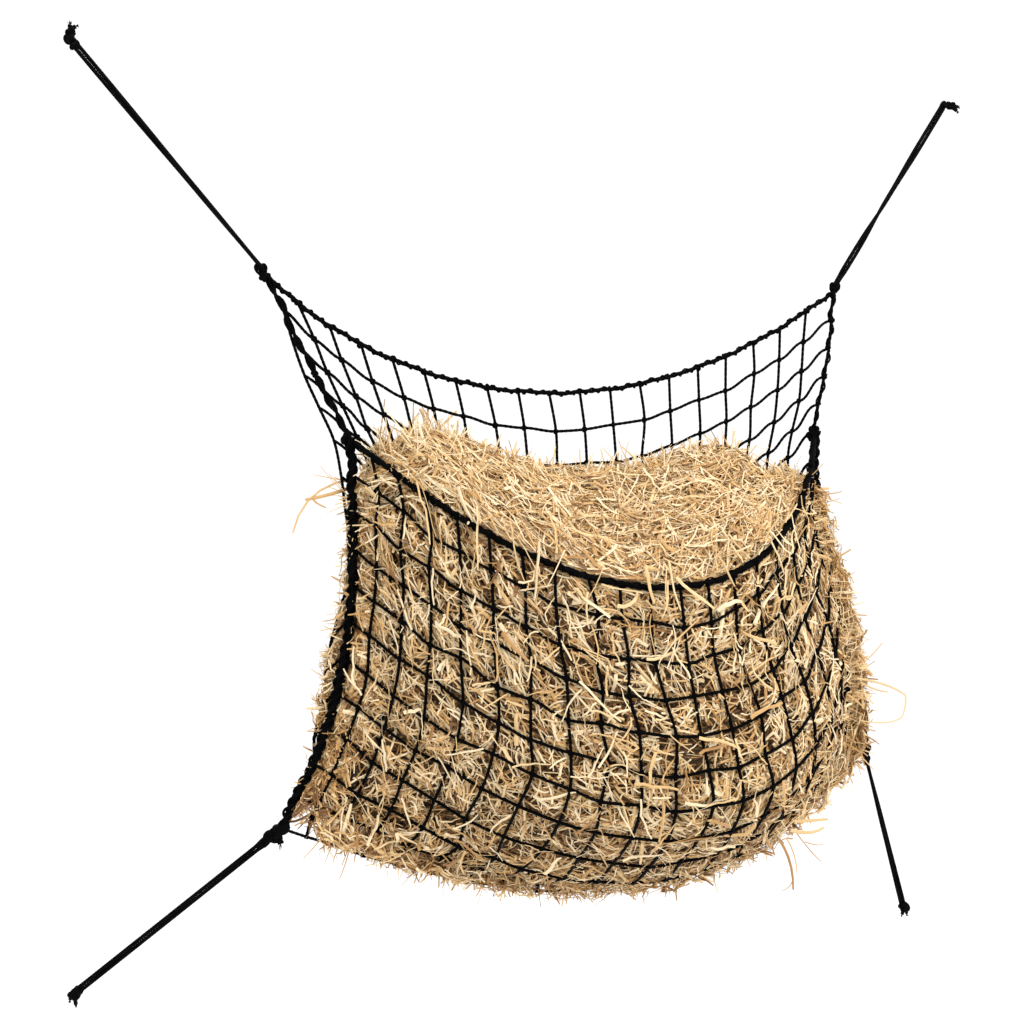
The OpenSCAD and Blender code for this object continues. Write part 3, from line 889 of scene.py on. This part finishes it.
def puff(u, q):
    """How far the hay stands out of the netting."""
    low = np.exp(-((q - BACK_ROWS) / 2.5) ** 2)
    swell = PUFF * (1 + 0.5 * low) * np.power(mesh_share(u, q), 0.6) - 0.003
    on_top = smooth((q - hay_front_row(u)) / 0.8)
    return swell * (1 - on_top) + 0.002 * on_top


def under_strands(u, q):
    """The most that a stem may stand out under the strands and the front rim."""
    rim = np.exp(-((q - SHEET_ROWS) / 0.16) ** 2)
    on_top = smooth((q - hay_front_row(u)) / 0.5)
    seam = np.exp(-(u / 0.017) ** 2) - 0.5 * np.exp(-((1 - u) / 0.02) ** 2)
    return ((1 - on_top) * (0.017 * np.power(mesh_share(u, q), 1.15) - 0.0035) + 0.03 * on_top
            - RIM_DIP * rim - 0.018 * seam)


def make_core():
    """A dark tangle behind the stems: brown as inner hay is, and darkened further as painted shade for
    the gaps between them.
    """
    u = np.linspace(*CORE_ENDS, CORE_COLUMNS)[:, None]
    top = hay_top_row(u)
    q = top + (HAY_LAST - top) * (np.arange(CORE_RING) / CORE_RING)[None, :]
    u = np.broadcast_to(u, q.shape)
    p = hay_surface(u, q)
    n = outward(hay_surface, u, q)
    to_middle = lengths_of(p - p.mean(axis=1, keepdims=True))
    facing = hay_surface(u, np.clip(2 * BACK_ROWS - q, top, HAY_LAST))
    thickness = lengths_of(p - facing)
    near_fold = np.abs(q - BACK_ROWS)[..., None] < FRONT_ROWS
    beside = np.where(near_fold, CORE_SHARE * thickness, CORE_INSET)
    off_seams = smooth((0.5 - np.abs(u - 0.5)) / 0.10)[..., None]
    depth = (np.minimum(np.minimum(CORE_INSET, CORE_SHARE * to_middle), beside)
             + 0.003 * off_seams * ripple(p, CORE_SEED, 0.02)[..., None])
    p = p - n * depth
    p[..., 2] = np.maximum(p[..., 2], p[..., 2].min(axis=1, keepdims=True) + CORE_FLOOR)
    bag = Bag()
    walls, caps = np.split(grid_faces(CORE_COLUMNS, CORE_RING), [(CORE_COLUMNS - 1) * CORE_RING])
    bag.add(p, np.vstack([walls, caps[:, ::-1]]))
    return bag.piece("hay_core", core_chaff_shade)


class Stems:
    """Stems of dry hay, each a thin flat tube along a bent line."""

    def __init__(self):
        self.parts = []

    def add(self, lines, widths, ups, tints):
        self.parts.append((lines, widths, ups, tints))

    def grow(self, rng, lines, ups, roll, thick_share, light, spread, shade=0.0):
        """Adds lines, each with a tint, a width and a roll of its own."""
        n = len(lines)
        tints = np.clip(light + rng.normal(0, spread, n) - shade, 0.02, 1)
        fine, thick = rng.uniform(*FINE_WIDTHS, n), rng.uniform(*THICK_WIDTHS, n)
        widths = np.where(rng.uniform(0, 1, n) < thick_share, thick, fine)
        self.add(lines, widths, unit(ups + rng.normal(0, roll, ups.shape)), tints)

    def pieces(self, name, most=4300):
        """The stems, without those that would stand out too far in front or behind."""
        values = [np.concatenate(part) for part in zip(*self.parts)]
        y = values[0][..., 1]
        keep = ((y.min(axis=1) > cad_box[0][1] - SPARE_DEPTH)
                & (y.max(axis=1) < cad_box[1][1] + SPARE_DEPTH))
        values = [part[keep] for part in values]
        for k, start in enumerate(range(0, len(values[0]), most)):
            yield stem_mesh(f"{name}_{k + 1}", *[part[start:start + most] for part in values])


def stem_mesh(name, lines, widths, ups, tints):
    count, steps = lines.shape[:2]
    t = unit(np.gradient(lines, axis=1))
    side = unit(np.cross(t, ups[:, None, :]))
    up = np.cross(side, t)
    taper = np.linspace(0, 1, steps)[None, :]
    half = 0.5 * widths[:, None] * (1 - STEM_TAPER * taper ** 3)
    wide, thick = half[..., None] * side, STEM_THICKNESS * half[..., None] * up
    verts = np.stack([lines + wide, lines + thick, lines - wide, lines - thick], axis=2)
    faces = grid_faces(steps, 4)
    base = np.arange(count)[:, None, None] * steps * 4
    bag = Bag()
    bag.add(verts, faces[None] + base)
    obj = bag.piece(name, straw, smooth_faces=False)
    layer = obj.data.attributes.new("tint", "FLOAT", "POINT")
    layer.data.foreach_set("value", np.repeat(tints, steps * 4).astype(np.float32))
    return obj


def metric(u, q):
    """How far one unit of u and of q reach on the hay's surface."""
    du = hay_surface(np.minimum(u + 0.005, 1), q) - hay_surface(np.maximum(u - 0.005, 0), q)
    dq = hay_surface(u, q + 0.1) - hay_surface(u, q - 0.1)
    return (np.maximum(np.linalg.norm(du, axis=-1) / 0.01, 0.2),
            np.maximum(np.linalg.norm(dq, axis=-1) / 0.2, 0.012))


def lying(u, q, heading, length, depth, curl, lift):
    """Lines that lie along the hay's surface, depth below it, with ends that lift off it."""
    lines = []
    ups = 0
    share = np.linspace(0, 1, STEM_STEPS)
    on_top = q > hay_front_row(u)
    loose = depth < OVER_RIM
    held = on_top & ~loose
    step = length / (STEM_STEPS - 1)
    for t in share:
        p = hay_surface(u, q)
        n = outward(hay_surface, u, q)
        near_seam = np.clip(u / 0.04, 0.1, 1) * np.clip((1 - u) / 0.02, 0.4, 1)
        clump = CLUMP * np.minimum(ripple(p, CLUMP_SEED, 0.055), 0.5)
        off = ((puff(u, q) - depth + clump) * near_seam
               + lift[:, 0] * (1 - t) ** 3 + lift[:, 1] * t ** 3)
        under = np.minimum(off, under_strands(u, q)) - STRAND_DIP
        off = np.where(depth > OVER_STRANDS, under, off)
        off = off - RIM_DIP * held * np.exp(-((q - hay_front_row(u)) / 0.7) ** 2)
        lines.append(p + n * off[:, None])
        ups = ups + n
        mu, mq = metric(u, q)
        u = np.clip(u + np.cos(heading) * step / mu, 0.004, 0.996)
        edge = hay_front_row(u)
        q = np.clip(q + np.sin(heading) * step / mq,
                    np.where(held, edge + 0.2, hay_top_row(u) + 0.05),
                    np.where(on_top | loose, HAY_LAST - 0.05, edge - 0.15))
        heading = heading + curl
    lines = np.stack(lines, axis=1)
    chord = lines[:, :1] + (lines[:, -1:] - lines[:, :1]) * share[None, :, None]
    return chord + BEND_KEPT * (lines - chord), unit(ups)


WHOLE = (0.006, 0.994)  # the hay's whole width, by u
LEFT_SEAM, RIGHT_SEAM = (0.006, 0.06), (0.94, 0.994)


def scattered(rng, count, low, high, ends=WHOLE):
    """Places spread over the hay's outside, evenly by area, between two rows."""
    u = rng.uniform(*ends, count * 3)
    q = rng.uniform(low, high, count * 3)
    keep = (q > hay_top_row(u) + 0.1) & (np.abs(q - BACK_ROWS) > follow(CORNER_BARE, u))
    mu, mq = metric(u, q)
    keep &= rng.uniform(0, 1, count * 3) < np.clip(mu * mq / 0.045, 0, 1)
    u, q = u[keep], q[keep]
    return u[:count], q[:count]


def bent(rng, start, way, length, most):
    """Lines that start along way and bend a little."""
    n = len(start)
    t = np.linspace(0, 1, STEM_STEPS)[None, :, None]
    bend = unit(rng.normal(0, 1, (n, 3)))[:, None] * rng.uniform(0.0, most, n)[:, None, None]
    return start[:, None] + length[:, None, None] * (way[:, None] * t + bend * t * t)


def bed(stems, rng, count, low, high, deep, lengths, thick_share, light, flatness=1.0, ends=WHOLE):
    """A layer of lying stems, half of them in bunches."""
    u, q = scattered(rng, count, low, high, ends)
    n = len(u)
    bunch = np.pi * ripple(hay_surface(u, q), BUNCH_SEED, 0.12) + rng.normal(0, 0.55, n)
    heading = np.where(rng.uniform(0, 1, n) < 0.5, bunch, rng.uniform(-np.pi, np.pi, n))
    heading = np.arctan2(np.sin(heading) * flatness, np.cos(heading))
    length = rng.uniform(*lengths, n)
    depth = rng.uniform(*deep, n)
    lift = rng.normal(0, 0.004, (n, 2)) + 0.001
    lines, ups = lying(u, q, heading, length, depth, rng.normal(0, 0.20, n), lift)
    lines = lines + rng.normal(0, 0.0005, lines.shape)
    # Painted shade: deeper stems, and those near the fold, get darker tints; the depth part also stands
    # for browner inner hay.
    shade = DEEP_SHADE * np.maximum(depth, 0) + FOLD_SHADE * np.exp(-((q - BACK_ROWS) / 3.5) ** 2)
    stems.grow(rng, lines, ups, 0.5, thick_share, light, 0.35, shade)


def poke(stems, rng, count, low, high, lengths, light, out):
    """Stems that stick out through the meshes."""
    u, q = scattered(rng, count, low, high)
    n = len(u)
    p = hay_surface(u, q)
    up = outward(hay_surface, u, q)
    aside = unit(np.cross(up, rng.normal(0, 1, (n, 3))))
    way = unit(up * rng.uniform(*out, n)[:, None] + aside)
    length = rng.uniform(*lengths, n)
    start = p + up * (puff(u, q)[:, None] - 0.010)
    stems.grow(rng, bent(rng, start, way, length, 0.28), up, 0.8, 0.15, light, 0.2)


def fringe(stems, rng, count, low, high, ends, pull, lengths, light):
    """Stems that stick out along an edge of the load, roughly along pull."""
    u, q = scattered(rng, count, low, high, ends)
    n = len(u)
    start = hay_surface(u, q) - 0.006 * outward(hay_surface, u, q)
    way = unit(np.array(pull) + rng.normal(0, 0.55, (n, 3)))
    length = rng.uniform(*lengths, n) * rng.uniform(0.4, 1, n)
    lines = bent(rng, start, way, length, 0.35)
    stems.grow(rng, lines, np.tile(UP_Y, (n, 1)), 0.8, 0.12, light, 0.2)


def draped(stems, rng, count, low, high, lengths, light):
    """Stems that hang over the front rim."""
    u, q = scattered(rng, count, low, high, (0.08, 0.92))
    n = len(u)
    lines, ups = lying(u, q, rng.normal(-np.pi / 2, 0.45, n), rng.uniform(*lengths, n),
                       np.full(n, -0.008), rng.normal(0, 0.08, n), rng.normal(0.002, 0.004, (n, 2)))
    stems.grow(rng, lines, ups, 0.4, 0.3, light, 0.1)


# Single stems that stand well out of the load: root, knee, tip and width in millimetres, and tint.
STRAY_STEMS = [
    ((310, 10, -490), (260, 10, -510), (235, 10, -555), 2.8, 0.62),
    ((310, 15, -500), (275, 10, -510), (250, 10, -515), 4.6, 0.50),
    ((310, 10, -495), (285, 10, -490), (260, 10, -485), 1.4, 0.70),
    ((260, 10, -515), (265, 10, -520), (275, 10, -525), 2.4, 0.45),
    ((945, -60, -750), (985, -60, -760), (1015, -60, -775), 3.0, 0.74),
    ((1015, -60, -775), (1015, -60, -790), (1010, -60, -805), 2.4, 0.78),
    ((1010, -60, -805), (985, -60, -810), (950, -60, -805), 2.1, 0.74),
    ((950, -60, -755), (970, -60, -765), (990, -60, -770), 2.4, 0.66),
    ((940, -60, -735), (960, -60, -725), (980, -60, -705), 2.0, 0.55),
    ((810, -120, -930), (825, -120, -960), (830, -120, -995), 3.4, 0.22),
    ((830, -120, -980), (825, -120, -990), (815, -120, -995), 1.4, 0.25),
    ((820, -120, -930), (830, -120, -950), (835, -120, -975), 1.6, 0.52),
    ((835, -115, -925), (855, -115, -950), (870, -115, -965), 1.4, 0.30),
    ((850, -110, -940), (865, -110, -945), (875, -110, -945), 1.4, 0.35),
    ((825, -120, -920), (850, -120, -925), (870, -120, -920), 5.2, 0.70),
    ((830, -120, -910), (850, -120, -910), (875, -120, -910), 4.8, 0.66),
    ((340, 0, -470), (365, 10, -440), (390, 20, -410), 3.6, 0.90),
    ((390, 15, -405), (395, 15, -415), (395, 15, -425), 4.0, 0.84),
    ((400, 5, -470), (405, 10, -445), (395, 20, -425), 1.8, 0.85),
    ((355, 5, -475), (345, 10, -450), (325, 10, -425), 2.2, 0.80),
]


def stray(stems):
    t = np.linspace(0, 1, STEM_STEPS)[:, None]
    for *places, width, tint in STRAY_STEMS:
        root, knee, tip = np.array(places) / 1000
        line = (1 - t) * (1 - 2 * t) * root + 4 * t * (1 - t) * knee + t * (2 * t - 1) * tip
        stems.add(line[None], np.array([width / 1000]), UP_Y[None] + (0.2, 0, 0.3), np.array([tint]))


# Layers of lying stems: count, rows, depths, lengths, share of thick stems and lightness, then how
# level they lie and their reach across, where these differ.
# Where layers pair up, the deeper one has the lower lightness: painted shade among the outer stems.
BEDS = [
    (8000, 0.5, SHEET_ROWS, (0.009, 0.017), (0.020, 0.070), 0.25, 0.17),
    (11500, 0.5, SHEET_ROWS, (0.001, 0.008), (0.015, 0.060), 0.20, 0.82),
    (1100, 0.5, SHEET_ROWS, (-0.005, -0.003), (0.015, 0.055), 0.14, 0.80),
    (1300, 5.5, SHEET_ROWS - 1, (0.006, 0.014), (0.020, 0.050), 0.20, 0.50, 1.0, LEFT_SEAM),
    (900, 5.5, SHEET_ROWS - 1, (0.000, 0.006), (0.015, 0.040), 0.20, 0.68, 1.0, LEFT_SEAM),
    (1300, 5.5, SHEET_ROWS - 1, (0.006, 0.014), (0.020, 0.050), 0.20, 0.50, 1.0, RIGHT_SEAM),
    (900, 5.5, SHEET_ROWS - 1, (0.000, 0.006), (0.015, 0.040), 0.20, 0.68, 1.0, RIGHT_SEAM),
    (900, 6.5, SHEET_ROWS - 1, (-0.012, -0.004), (0.015, 0.040), 0.20, 0.54, 1.0, (0.965, 0.994)),
    (6000, SHEET_ROWS - 0.3, HAY_LAST, (0.004, 0.014), (0.020, 0.060), 0.16, 0.46, 0.8),
    (5500, SHEET_ROWS + 0.1, HAY_LAST, (-0.006, 0.004), (0.020, 0.060), 0.12, 0.76, 0.8),
    (3200, 5.0, SHEET_ROWS, (-0.002, 0.003), (0.012, 0.036), 0.0, 0.88),
    (1500, BACK_ROWS - 3, BACK_ROWS + 6, (0.000, 0.006), (0.012, 0.040), 0.10, 0.76),
    (1100, BACK_ROWS - 1, BACK_ROWS + 0.8, (-0.013, -0.003), (0.015, 0.045), 0.20, 0.72, 1.0,
     (0.07, 0.97)),
]
# Stems that poke out: count, rows, lengths, lightness and how steeply.
POKES = [
    (1500, 1.0, SHEET_ROWS - 0.3, (0.012, 0.030), 0.68, (0.1, 0.9)),
    (300, SHEET_ROWS + 0.5, HAY_LAST, (0.012, 0.025), 0.70, (0.3, 0.9)),
    (1000, SHEET_ROWS + 1.6, HAY_LAST, (0.020, 0.060), 0.70, (0.1, 0.7)),
]
DRAPED = (20, SHEET_ROWS + 0.1, SHEET_ROWS + 0.9, (0.03, 0.07), 0.80)
# Fringes: count, rows, reach across, pull, lengths and lightness. In turn: the fold, the seams, the
# lower right and left corners, the top's back and its left.
FRINGES = [
    (900, BACK_ROWS - 1.2, BACK_ROWS + 1.5, (0.05, 0.95), (0, 0, -1), (0.014, 0.036), 0.62),
    (300, 6.5, SHEET_ROWS - 1.5, LEFT_SEAM, (-1, -0.2, -0.1), (0.012, 0.036), 0.66),
    (900, 6.5, SHEET_ROWS - 1.5, (0.93, 0.994), (1, -0.2, 0), (0.014, 0.040), 0.66),
    (240, BACK_ROWS - 2, BACK_ROWS + 2, (0.955, 0.994), (0.2, -0.6, -0.7), (0.012, 0.036), 0.58),
    (160, BACK_ROWS + 1, BACK_ROWS + 3.5, (0.01, 0.07), (0.2, -0.7, -0.5), (0.010, 0.030), 0.58),
    (620, HAY_LAST - 1.2, HAY_LAST, (0.14, 0.86), (0, 0.1, 0.8), (0.016, 0.050), 0.82),
    (170, HAY_LAST - 2.5, HAY_LAST - 0.3, (0.05, 0.20), (-0.1, 0.1, 1), (0.025, 0.065), 0.84),
]
HAY_SEED = 101


def make_hay():
    rng = np.random.RandomState(HAY_SEED)
    share = 1.0
    body = Stems()
    for layer, rows in ((bed, BEDS), (poke, POKES), (draped, [DRAPED]), (fringe, FRINGES)):
        for count, *rest in rows:
            layer(body, rng, int(count * share), *rest)
    stray(body)
    for obj in [make_core()] + list(body.pieces("hay_stems")):
        on_net(obj, "dry_hay", "hay_load")


make_hay()


# ---- Floor and light ----

FLOOR_DROP = 0.80  # the net hangs this far above the floor
FLOOR_REACH = 30.0
WORLD_STRENGTH = 1.09


def make_floor():
    z = cad_box[0][2] - FLOOR_DROP
    bag = Bag()
    corners = ((-1, -1), (1, -1), (1, 1), (-1, 1))
    bag.add([(FLOOR_REACH * x, FLOOR_REACH * y, z) for x, y in corners], [(0, 1, 2, 3)])
    mat, nodes, links, shader = new_material("floor_white")
    pale = ramp(nodes, links, noise(nodes, links, 3, 2),
                [(0, (0.95, 0.95, 0.95)), (1, (0.97, 0.97, 0.97))])
    links.new(pale, shader.inputs["Base Color"])
    shader.inputs["Roughness"].default_value = 0.9
    bag.piece("floor", mat)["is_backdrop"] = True


def make_world():
    world = bpy.data.worlds.new("studio")
    world.use_nodes = True
    back = world.node_tree.nodes["Background"]
    back.inputs["Color"].default_value = (1.0, 1.0, 1.0, 1)
    back.inputs["Strength"].default_value = WORLD_STRENGTH
    bpy.context.scene.world = world


make_floor()
make_world()
MIDDLE = (0.6, 0, -0.65)
area_light("key", (1.5, -2.3, 1.5), MIDDLE, 1.2, 62, (1.0, 0.98, 0.95))
area_light("top", (0.9, 0.3, 1.6), MIDDLE, 1.6, 14, (1.0, 0.99, 0.97))
bpy.context.scene.view_settings.view_transform = "Standard"

[[list(map(float, corner)) for corner in box] for box in (cad_box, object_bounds())]
